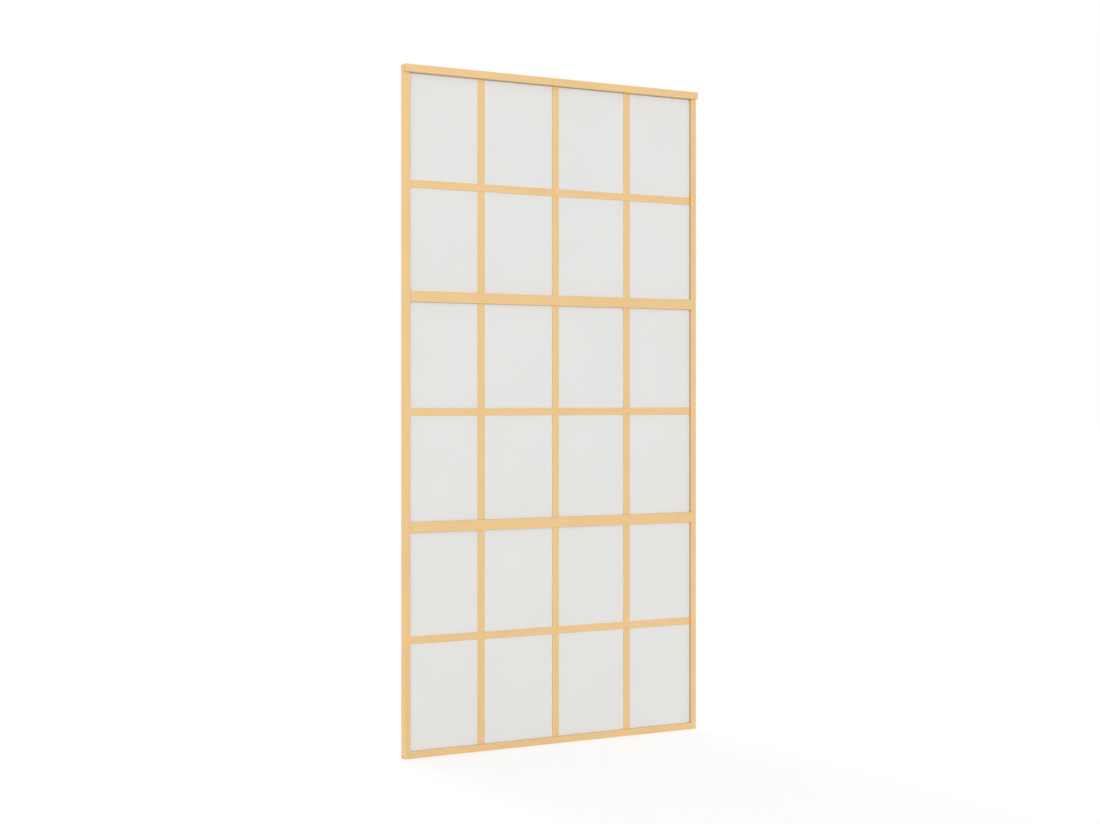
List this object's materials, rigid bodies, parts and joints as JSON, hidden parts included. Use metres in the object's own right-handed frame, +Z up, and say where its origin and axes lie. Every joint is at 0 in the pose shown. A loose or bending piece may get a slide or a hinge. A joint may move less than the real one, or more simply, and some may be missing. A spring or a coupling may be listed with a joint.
{
  "type": "sliding glass door",
  "caption": "Top-hung sliding door leaf: slim gold aluminium frame, frosted panes with glazing bars on both faces, and a deeper head rail with sliding hangers in its slot.",
  "frame": {"origin": "middle of the leaf's bottom edge, in the plane halfway through the glass", "axes": "+X along the leaf to the right as seen from the front, +Y through it to the rear, +Z up"},
  "size_m": [1.025, 0.032, 2.015],
  "materials": {
    "gold_aluminium": "satin",
    "frosted_glass": "matte",
    "black_rubber": "matte",
    "zinc_steel": "satin",
    "raw_aluminium": "satin",
    "gold_plastic": "satin"
  },
  "bodies": {
    "leaf": {"head_rail": "gold_aluminium", "bottom_rail": "gold_aluminium", "corner_screws": "zinc_steel", "stile_screws": "zinc_steel", "cleat_screws": "zinc_steel", "left_stile": "gold_aluminium", "right_stile": "gold_aluminium", "left_head_cap": "gold_plastic", "right_head_cap": "gold_plastic", "upper_transom": "gold_aluminium", "lower_transom": "gold_aluminium", "upper_left_cleat": "raw_aluminium", "upper_right_cleat": "raw_aluminium", "lower_left_cleat": "raw_aluminium", "lower_right_cleat": "raw_aluminium", "upper_glass": "frosted_glass", "middle_glass": "frosted_glass", "lower_glass": "frosted_glass", "upper_gasket": "black_rubber", "middle_gasket": "black_rubber", "lower_gasket": "black_rubber", "front_upper_cross_bar": "gold_aluminium", "front_middle_cross_bar": "gold_aluminium", "front_lower_cross_bar": "gold_aluminium", "front_upper_left_upright": "gold_aluminium", "front_upper_centre_upright": "gold_aluminium", "front_upper_right_upright": "gold_aluminium", "front_middle_left_upright": "gold_aluminium", "front_middle_centre_upright": "gold_aluminium", "front_middle_right_upright": "gold_aluminium", "front_lower_left_upright": "gold_aluminium", "front_lower_centre_upright": "gold_aluminium", "front_lower_right_upright": "gold_aluminium", "rear_upper_cross_bar": "gold_aluminium", "rear_middle_cross_bar": "gold_aluminium", "rear_lower_cross_bar": "gold_aluminium", "rear_upper_left_upright": "gold_aluminium", "rear_upper_centre_upright": "gold_aluminium", "rear_upper_right_upright": "gold_aluminium", "rear_middle_left_upright": "gold_aluminium", "rear_middle_centre_upright": "gold_aluminium", "rear_middle_right_upright": "gold_aluminium", "rear_lower_left_upright": "gold_aluminium", "rear_lower_centre_upright": "gold_aluminium", "rear_lower_right_upright": "gold_aluminium"},
    "left_hanger": {"left_hanger": "zinc_steel"},
    "right_hanger": {"right_hanger": "zinc_steel"}
  },
  "joints": [
    {"name": "left_hanger_slide", "type": "slide", "parent": "leaf", "child": "left_hanger", "axis": [1, 0, 0], "range_m": [-0.09, 0.33]},
    {"name": "right_hanger_slide", "type": "slide", "parent": "leaf", "child": "right_hanger", "axis": [1, 0, 0], "range_m": [-0.33, 0.09]}
  ]
}
